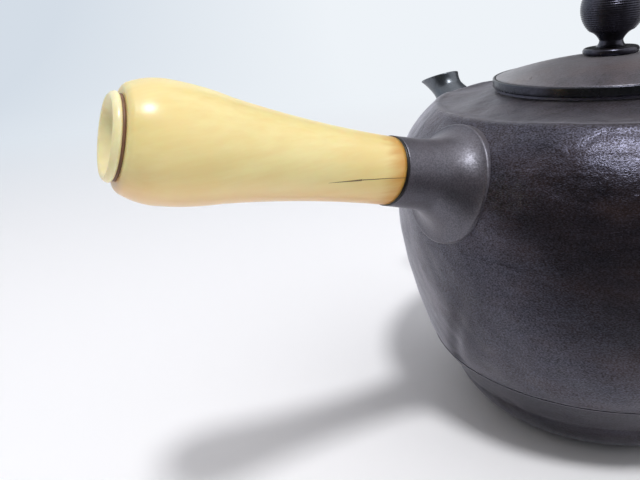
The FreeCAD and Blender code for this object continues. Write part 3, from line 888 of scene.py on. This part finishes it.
@dataclass
class Handle:
    """Flared socket, grip and the pieces at its ends, in millimetres.

    Places along the handle are counted from the belly's reach.
    """

    vessel: Vessel
    height: float = 52.7
    rise: float = 17.7
    bearing: float = 180.0
    flange_radius: float = 13.05
    flange_place: float = -2.8
    flange_edge: float = 0.5
    flange_sink: float = 1.6
    flange_sag: float = 1.25
    flange_hug: float = 0.5
    sag_reach: float = 8.0
    seat_reach: float = 7.0
    throats: tuple[Pair, Pair] = ((7.4, 6.4), (7.4, 3.2))
    flare_turn: Pair = (-0.6, 1.0)
    socket_end: Pair = (7.2, 12.0)
    bore: float = 5.0
    tang: float = 2.3
    grip_root: Pair = (7.0, 12.5)
    waist: Pair = (9.45, 47.4)
    bulb: Pair = (10.7, 59.0)
    brow: Pair = (9.3, 65.0)
    tail: Pair = (7.75, 66.1)
    tail_bend: float = 1.6
    band_end: float = 66.6
    band_sink: float = 0.3
    lip_radius: float = 7.5
    lip_end: float = 68.1
    lip_bend: float = 1.4
    dish_radius: float = 6.1
    dish_edge: float = 0.5
    dish_edge_bend: float = 1.0
    dish_depth: float = 3.2
    dish_bend: float = 5.4
    dish_floor: float = 0.8
    plug: float = 6.6
    plug_depth: float = 2.4
    plug_gap: float = 0.05
    socket_steps: int = 200
    ring_steps: int = 120
    grip_steps: int = 160
    lip_steps: int = 140
    axis: Axis = field(init=False)

    def __post_init__(self) -> None:
        """Lay the handle's axis."""
        self.axis = leaning(self.height, self.rise, self.bearing)

    def along(self, place: float) -> float:
        """A place beyond the belly's reach, as a place along the axis."""
        return self.axis.reach + place

    def build(self) -> None:
        """Make the handle's pieces and dress them."""
        self.socket()
        self.grip()
        self.ends()
        plain("tang_rod")

    def socket(self) -> None:
        """Make the socket, whose flare is long above and short below and whose foot is bent to the wall."""
        above, below = (spun(self.socket_outline(throat), self.socket_steps) for throat in self.throats)
        place = self.along(self.flange_place)
        down = faded(above[..., 1] / np.hypot(above[..., 0], above[..., 1]), *self.flare_turn)[..., None]
        points = above * (1.0 - down) + below * down
        points[..., 1] += self.flange_sag * faded(points[..., 2], place + self.sag_reach, place)
        points = self.vessel.seated(
            self.axis, points, place - self.flange_edge, self.seat_reach, self.flange_hug)
        dress(skin("flared_socket", self.axis.place(points), ring=True), SOCKET_IRON, Slot.SOCKET, Body.POT,
              "handle_socket")
        low, high = self.along(self.socket_end[1]), self.along(self.grip_root[1])
        self.washer("thin_spacer", (self.tang, self.socket_end[0]), (low, high), RING_HORN, "spacer_ring")

    def washer(self, name: str, radii: Pair, ends: Pair, finish: Horn, node: str) -> None:
        """Make a plain ring of horn about the handle's axis and dress it.

        Args:
            name: Name of the piece.
            radii: Inner and outer radius.
            ends: Its two places along the axis.
            finish: Its finish.
            node: The CAD node that it stands for.
        """
        (inner, outer), (low, high) = radii, ends
        ring = np.array([(inner, low), (outer, low), (outer, high), (inner, high)])
        piece = skin(name, self.axis.place(spun(ring, self.ring_steps)), ring=True)
        dress(piece, finish, Slot.HORN, Body.POT, node)

    def socket_outline(self, throat: Pair) -> np.ndarray:
        """Outline of the socket: flange, hollow flare that runs into the tube, and tube.

        Args:
            throat: Radius where the flare ends and its place beyond the belly's reach.

        Returns:
            Radii and places along the axis, closed round the bore.
        """
        radius, place = self.axis.at((self.flange_radius, self.flange_place))
        edge, rear = self.flange_edge, place - self.flange_edge - self.flange_sink
        face, neck, end = (radius - edge, place), self.axis.at(throat), self.axis.at(self.socket_end)
        return traced(
            (self.bore, rear), ((radius, rear), 6), ((radius, place - edge), 6), (face, 6, edge),
            (neck, 40, -bend_to(face, neck)), (end, 14), ((self.bore, end[1]), 4), ((self.bore, rear), 10))

    def mapped(self, name: str, outer: np.ndarray, steps: int) -> bpy.types.Object:
        """Turn an outline about the handle's axis, with a map of turn and place along it.

        Args:
            name: Name of the piece.
            outer: Radii and places along the axis.
            steps: Number of angles in a full turn.

        Returns:
            The piece.
        """
        turn = np.linspace(0, 1, steps, endpoint=False)
        uv = np.stack(np.broadcast_arrays(turn[None, :], outer[:, 1][:, None] / MAP_MM), axis=2)
        return skin(name, self.axis.place(spun(outer, steps)), ring=False, uv=uv)

    def grip(self) -> None:
        """Make the grip: a hollow arc to the waist, then two swelling arcs over the bulb."""
        spots = (self.grip_root, self.waist, self.bulb, self.brow, self.tail)
        root, waist, bulb, brow, tail = map(self.axis.at, spots)
        hole, deep = self.plug + self.plug_gap, self.along(self.band_end - self.plug_depth - self.plug_gap)
        outer = traced(
            (0.0, root[1]), ((CORE, root[1]), 1), (root, 8), (waist, 40, -bend_to(waist, root)),
            (bulb, 28, bend_to(bulb, waist)), (brow, 24, bend_to(bulb, brow)), (tail, 10, self.tail_bend),
            ((hole, tail[1]), 4), ((hole, deep), 4), ((CORE, deep), 6), last=(0.0, deep))
        dress(self.mapped("turned_grip", outer, self.grip_steps), GRIP, Slot.GRIP, Body.POT, "grip")

    def ends(self) -> None:
        """Make the dark band and the dished end ring."""
        tail, low, high = map(self.along, (self.tail[1], self.band_end, self.lip_end))
        band = (self.plug + self.plug_gap, self.lip_radius - self.band_sink)
        self.washer("dark_end_band", band, (tail, low), BAND_HORN, "end_band")
        radius, edge, deep = self.lip_radius, self.dish_edge, low - self.plug_depth
        rim, floor = (self.dish_radius + radius) / 2, high - self.dish_depth
        outer = traced(
            (0.0, deep), ((CORE, deep), 1), ((self.plug, deep), 6), ((self.plug, low), 4),
            ((radius - edge, low), 3), ((radius, low + edge), 5, edge), ((rim, high), 12, self.lip_bend),
            ((self.dish_radius, high - edge), 6, self.dish_edge_bend),
            ((self.dish_floor, floor), 20, -self.dish_bend), last=(0.0, floor))
        piece = self.mapped("dished_end_ring", outer, self.lip_steps)
        dress(piece, LIGHTENED_GRIP_END, Slot.GRIP, Body.POT, "end_ring")


@dataclass
class Spout:
    """Short rising spout with a flared lip that lies nearly level, in millimetres.

    Places along the spout are counted from the belly's reach.
    """

    vessel: Vessel
    root: Pair = (8.6, -3.0)
    root_flare: float = 1.2
    root_depth: float = 1.5
    root_rise: float = 2.0
    root_bend: float = 8.0
    seat_reach: float = 9.0
    seat_hug: float = 1.0
    neck: Pair = (4.6, 13.1)
    sweep: float = 40.0
    lip: Pair = (5.65, 18.8)
    lip_edge: float = 0.25
    lip_lean: float = 17.0
    lip_from: float = 8.0
    bore: Pair = (3.7, 15.6)
    bore_start: float = 7.0
    lip_bore: float = 5.1
    funnel: Pair = (4.8, 2.5)
    strainer: float = 5.4
    steps: int = 140

    def build(self) -> None:
        """Make the tube, its foot bent to the wall and its lip tipped towards level, and dress it."""
        spots = (self.root, self.neck, self.lip, self.bore, (self.bore[0], self.bore_start), self.funnel)
        root, neck, lip, bore, start, seat = map(SPOUT_AXIS.at, spots)
        low, edge = root[1] - self.root_depth, self.lip_edge
        outer = traced(
            (self.strainer, low), ((root[0] + self.root_flare, low), 4),
            ((root[0], root[1] + self.root_rise), 10, -self.root_bend), (neck, 30, -self.sweep),
            ((lip[0], lip[1] - edge), 16, -bend_to(lip, neck)), ((lip[0] - edge, lip[1]), 5, edge),
            ((self.lip_bore, lip[1]), 3), (bore, 6), (start, 8), (seat, 6), ((self.strainer, seat[1]), 2),
            ((self.strainer, low), 6))
        points = self.vessel.seated(
            SPOUT_AXIS, spun(outer, self.steps), root[1], self.seat_reach, self.seat_hug)
        tip = np.tan(np.radians(90.0 - SPOUT_RISE - self.lip_lean))
        tipped = faded(points[..., 2], SPOUT_AXIS.reach + self.lip_from, lip[1])
        points[..., 2] += tip * points[..., 1] * tipped
        dress(skin("flared_spout", SPOUT_AXIS.place(points), ring=True), SPOUT_IRON, Slot.HAMMERED, Body.POT,
              "spout_tube")
        plain("strainer_plate")


@dataclass
class Lid:
    """Domed plate, rim band and the knob's round seat, in millimetres."""

    rim_radius: float = 26.9
    rim_low: float = 82.5
    rim_top: float = 84.6
    rim_foot: float = 0.3
    rim_edge: float = 0.3
    plate_radius: float = 26.1
    rebate: float = 83.9
    skirt_inner: float = 21.88
    dome_top: float = 88.2
    dome_ease: float = 1.8
    plate_wall: float = 1.4
    hole: float = 1.45
    washer: float = 4.0
    seat_radius: float = 6.2
    seat_edge: float = 0.85
    vent: Pair = (1.0, 17.0)
    plate_steps: int = 220
    band_steps: int = 260
    seat_steps: int = 120

    def build(self) -> None:
        """Make the lid's pieces and dress them."""
        self.plate()
        self.band()
        self.seat()
        plain("lid_skirt")

    def plate(self) -> None:
        """Make the domed plate, a flat arc above and a rounder one below, with an air hole by the spout."""
        top, under = self.dome_top, self.dome_top - self.plate_wall
        dome = self.dome_ease * easing(top - self.rim_top, self.plate_radius - self.seat_radius)
        hollow = easing(under - self.rebate, self.skirt_inner - self.washer)
        outer = traced(
            (self.hole, under), ((self.washer, under), 3), ((self.skirt_inner, self.rebate), 20, -hollow),
            ((self.plate_radius, self.rebate), 4), ((self.plate_radius, self.rim_top), 3),
            ((self.seat_radius, top), 30, dome), ((self.hole, top), 4), ((self.hole, under), 2))
        piece = skin("domed_lid_plate", spun(outer, self.plate_steps), ring=True)
        radius, aside = self.vent
        pierced(piece, rod(radius, self.rebate, top) + np.array([0.0, aside, 0.0]))
        dress(piece, LID_IRON, Slot.LID, Body.LID, "lid_plate")

    def band(self) -> None:
        """Make the rim band, rounded at its foot and at its upper edge."""
        radius, low, high = self.rim_radius, self.rim_low, self.rim_top
        foot, edge = self.rim_foot, self.rim_edge
        outer = traced(
            (self.skirt_inner, low), ((radius - foot, low), 6), ((radius, low + foot), 5, foot),
            ((radius, high - edge), 4), ((radius - edge, high), 7, edge), ((self.plate_radius, high), 2),
            ((self.plate_radius, self.rebate), 2), ((self.skirt_inner, self.rebate), 4),
            ((self.skirt_inner, low), 2))
        piece = skin("black_rim_band", spun(outer, self.band_steps), ring=True)
        dress(piece, RIM_IRON, Slot.RIM, Body.LID, "lid_rim")

    def seat(self) -> None:
        """Make the knob's seat: a disc with a round edge."""
        low, edge = self.dome_top, self.seat_edge
        high, inner = low + 2 * edge, self.seat_radius - edge
        outer = traced(
            (self.hole, low), ((inner, low), 4), ((self.seat_radius, low + edge), 8, edge),
            ((inner, high), 8, edge), ((self.hole, high), 6), ((self.hole, low), 2))
        piece = skin("round_knob_seat", spun(outer, self.seat_steps), ring=True)
        dress(piece, KNOB_IRON, Slot.KNOB, Body.LID, "knob_seat")


@dataclass
class Knob:
    """Ribbed ball on a waisted neck, in millimetres."""

    low: float = 90.0
    core: float = 0.8
    foot: float = 3.4
    foot_bend: float = 1.6
    neck: Pair = (2.6, 91.4)
    neck_bend: float = 4.0
    ball: float = 7.0
    centre: float = 98.6
    join: float = 4.9
    rib_pitch: float = 0.5
    rib_depth: float = 0.1
    rib_level: float = 0.6
    rib_start: Pair = (0.8, 2.8)
    rib_crown: Pair = (0.0, 1.0)
    rib_step: float = 0.06
    steps: int = 120

    def build(self) -> None:
        """Make the ball: ribs are a sine of the way along its outline, added outwards."""
        joined = (self.join, self.centre - np.sqrt(self.ball ** 2 - self.join ** 2))
        top = (0.0, self.centre + self.ball)
        outline = traced(
            (0.0, self.low), ((self.core, self.low), 1), ((self.foot, self.low), 6),
            (self.neck, 10, -self.foot_bend), (joined, 14, -self.neck_bend), (top, 80, self.ball), last=top)
        even = spaced(outline, self.rib_step)
        way = np.arange(len(even)) * self.rib_step
        above = even[:, 1] - self.neck[1]
        grown = faded(above, *self.rib_start) * faded(even[:, 0], *self.rib_crown)
        ribs = self.rib_depth * grown * (np.abs(np.sin(np.pi * way / self.rib_pitch)) - self.rib_level)
        ribbed = even + ribs[:, None] * outward(even)
        ribbed[:, 0] = np.maximum(ribbed[:, 0], 0.0)
        piece = skin("ribbed_knob", spun(ribbed, self.steps), ring=False)
        dress(piece, KNOB_IRON, Slot.KNOB, Body.KNOB, "knob_ball")
        plain("knob_stem", "stem_washer")


@dataclass
class Studio:
    """Pale sweep, soft lamp and the camera at the photograph's angle.

    The camera's sizes are in millimetres and degrees, those of the sweep and the lamp in metres.
    """

    focal_px: float = 629.5
    sensor: float = 36.0
    clip_start: float = 0.01
    distance: float = 168.77
    height: float = 106.16
    bearing: float = 219.46
    yaw: float = 25.69
    pitch: float = 20.36
    roll: float = 6.43
    sweep_tone: str = "#FAFAFD"
    sweep_roughness: float = 0.8
    # Painted shade: the backdrop's glow is darker towards the left, as light falling off across it.
    backdrop: tuple[str, str] = ("#EEF3F8", "#D4DDE7")
    backdrop_turn: Pair = (0.0, 0.6)
    backdrop_depth: Pair = (0.05, 0.6)
    mirror_fall: Pair = (-0.55, -0.28)
    mirror_least: float = 0.1
    sweep_front: float = 0.07
    sweep_start: float = 0.8
    sweep_bend: float = 1.2
    sweep_steps: int = 32
    sweep_reach: float = 3.0
    sweep_side: float = 9.0
    room: Pair = (0.05, 1.12)
    room_tone: str = "#F5F5F7"
    dim_rise: float = 20.0
    dim_spread: Pair = (36.0, 72.0)
    key_place: tuple[float, float, float] = (-0.130, -0.290, 0.95)
    key_size: float = 0.15
    key_power: float = 5.1
    ahead: np.ndarray = field(init=False)
    level: np.ndarray = field(init=False)
    right: np.ndarray = field(init=False)

    def __post_init__(self) -> None:
        """Work out the level directions: towards the pot, along the camera's heading and to its right."""
        around, yaw = np.radians([self.bearing, self.yaw])
        self.ahead = -np.array([np.cos(around), np.sin(around), 0.0])
        side = np.array([self.ahead[1], -self.ahead[0], 0.0])
        self.level = -np.sin(yaw) * side + np.cos(yaw) * self.ahead
        self.right = np.cos(yaw) * side + np.sin(yaw) * self.ahead

    def build(self) -> None:
        """Make the camera, the sweep and the light."""
        self.camera()
        self.sweep()
        self.world()
        self.lamp()
        bpy.context.scene.view_settings.view_transform = "Standard"

    @staticmethod
    def stand(name: str, data: Any, ways: list[np.ndarray]) -> bpy.types.Object:
        """Put a camera or lamp into the scene.

        Args:
            name: Name of the object.
            data: Its camera or light data.
            ways: Its right, its up and its back, and its place in metres.

        Returns:
            The object.
        """
        made = bpy.data.objects.new(name, data)
        made.matrix_world = Matrix(np.column_stack(ways).tolist() + [[0, 0, 0, 1]])
        bpy.context.scene.collection.objects.link(made)
        return made

    def camera(self) -> None:
        """Stand the camera on its bearing, then turn, tip and roll it."""
        pitch, roll = np.radians([self.pitch, self.roll])
        forward = self.level * np.cos(pitch) - UP * np.sin(pitch)
        above = self.level * np.sin(pitch) + UP * np.cos(pitch)
        across = self.right * np.cos(roll) - above * np.sin(roll)
        upward = self.right * np.sin(roll) + above * np.cos(roll)
        spot = (-self.ahead * self.distance + UP * self.height) * MM
        data = bpy.data.cameras.new("photo_camera")
        data.sensor_width = self.sensor
        data.lens = self.focal_px * self.sensor / PHOTO_WIDTH
        data.clip_start = self.clip_start
        bpy.context.scene.camera = self.stand("photo_camera", data, [across, upward, -forward, spot])

    def sweep(self) -> None:
        """Make the sweep: a floor that curves up behind the pot in a quarter circle, so no horizon shows."""
        turn = np.linspace(0, np.pi / 2, self.sweep_steps)
        back = np.concatenate([[-self.sweep_reach], self.sweep_start + self.sweep_bend * np.sin(turn),
                               [self.sweep_start + self.sweep_bend]])
        high = np.concatenate([[0.0], self.sweep_bend * (1 - np.cos(turn)), [self.sweep_reach]])
        sides = np.array([-self.sweep_side, self.sweep_side])
        spots = (back[:, None, None] * self.level + high[:, None, None] * UP
                 + sides[None, :, None] * self.right)
        first = 2 * np.arange(len(back) - 1)
        faces = np.stack([first, first + 1, first + 3, first + 2], axis=1)
        mesh = bpy.data.meshes.new("sweep")
        mesh.from_pydata(spots.reshape(-1, 3).tolist(), [], faces.tolist())
        mesh.polygons.foreach_set("use_smooth", np.ones(len(faces), bool))
        mesh.materials.append(self.paper())
        made = bpy.data.objects.new("sweep", mesh)
        bpy.context.scene.collection.objects.link(made)

    def paper(self) -> bpy.types.Material:
        """Build the sweep's material: white paper that takes the shadow, and behind it a glowing backdrop,
        painted darker towards the left.

        The glow is for the eye and for mirrors. In mirrors it falls off to the right, and the floor on the
        camera's side is as dim as the room there.

        Returns:
            The material, on Object coordinates.
        """
        made, tree = blank_material("pale_sweep")
        place = add(tree, "TexCoord").outputs["Object"]
        rays = add(tree, "LightPath")
        seen, mirrored = rays.outputs["Is Camera Ray"], rays.outputs["Is Glossy Ray"]
        deep, left = (
            add(tree, "VectorMath", {
                0: place, 1: tuple(way.tolist())}, operation="DOT_PRODUCT").outputs["Value"]
            for way in (self.level, -self.right))
        # Painted shade: the glow darkens towards the left.
        aside = add(tree, "MapRange", {
            "Value": left, "From Min": self.backdrop_turn[0], "From Max": self.backdrop_turn[1]})
        tone = add(tree, "Mix", {
            SHARE: aside, FIRST: linear(self.backdrop[0]),
            SECOND: linear(self.backdrop[1])}, data_type="RGBA")
        far = add(tree, "MapRange", {
            "Value": deep, "From Min": self.backdrop_depth[0], "From Max": self.backdrop_depth[1]},
            interpolation_type="SMOOTHSTEP")
        either = add(tree, "Math", {0: seen, 1: mirrored}, operation="MAXIMUM")
        share = add(tree, "Math", {0: far, 1: either}, operation="MULTIPLY")
        fall = add(tree, "MapRange", {
            "Value": left, "From Min": self.mirror_fall[0], "From Max": self.mirror_fall[1],
            "To Min": self.mirror_least})
        strength = add(tree, "Math", {0: fall, 1: seen}, operation="MAXIMUM")
        white = add(tree, "BsdfPrincipled", {
            "Base Color": linear(self.sweep_tone), "Roughness": self.sweep_roughness})
        glow = add(tree, "Emission", {"Color": tone.outputs[MIXED], "Strength": strength})
        mixed = add(tree, "MixShader", {0: share, 1: white, 2: glow})
        front = add(tree, "Math", {0: deep, 1: -self.sweep_front}, operation="LESS_THAN")
        dimmed = add(tree, "Math", {0: front, 1: mirrored}, operation="MULTIPLY")
        dim = add(tree, "Emission", {"Strength": self.room[0]})
        whole = add(tree, "MixShader", {0: dimmed, 1: mixed, 2: dim})
        add(tree, "OutputMaterial", {"Surface": whole})
        return made

    def world(self) -> None:
        """Light the pot from a pale room that is dim low on the camera's side."""
        made = bpy.data.worlds.new("studio")
        made.use_nodes = True
        tree = made.node_tree
        tree.nodes.clear()
        way = add(tree, "TexCoord").outputs["Generated"]
        lift = np.radians(self.dim_rise)
        dim = UP * np.sin(lift) - self.ahead * np.cos(lift)
        near = add(tree, "VectorMath", {0: way, 1: tuple(dim.tolist())}, operation="DOT_PRODUCT")
        spread = np.cos(np.radians(self.dim_spread))
        shown = add(tree, "MapRange", {
            "Value": near.outputs["Value"], "From Min": spread[0], "From Max": spread[1],
            "To Min": self.room[0], "To Max": self.room[1]}, interpolation_type="SMOOTHSTEP")
        rays = add(tree, "LightPath")
        strength = add(tree, "MapRange", {
            "Value": rays.outputs["Is Camera Ray"], "To Min": shown, "To Max": 1.0})
        shade = add(tree, "Background", {"Color": linear(self.room_tone), "Strength": strength})
        add(tree, "OutputWorld", {"Surface": shade})
        bpy.context.scene.world = made

    def lamp(self) -> None:
        """Hang a round soft lamp above the pot that faces it."""
        data = bpy.data.lights.new("key", "AREA")
        data.shape = "DISK"
        data.size = self.key_size
        data.energy = self.key_power
        place = np.array(self.key_place)
        back = place / np.linalg.norm(place)
        side = np.cross([0.0, 1.0, 0.0], back)
        side /= np.linalg.norm(side)
        self.stand("key", data, [side, np.cross(back, side), back, place])


def main() -> None:
    """Build the pot's pieces in order, then the studio."""
    logging.basicConfig(level=logging.INFO, format="%(name)s: %(message)s")
    vessel = Vessel()
    for maker in (vessel, Handle(vessel), Spout(vessel), Lid(), Knob(), Studio()):
        maker.build()


if __name__ == "__main__":
    main()
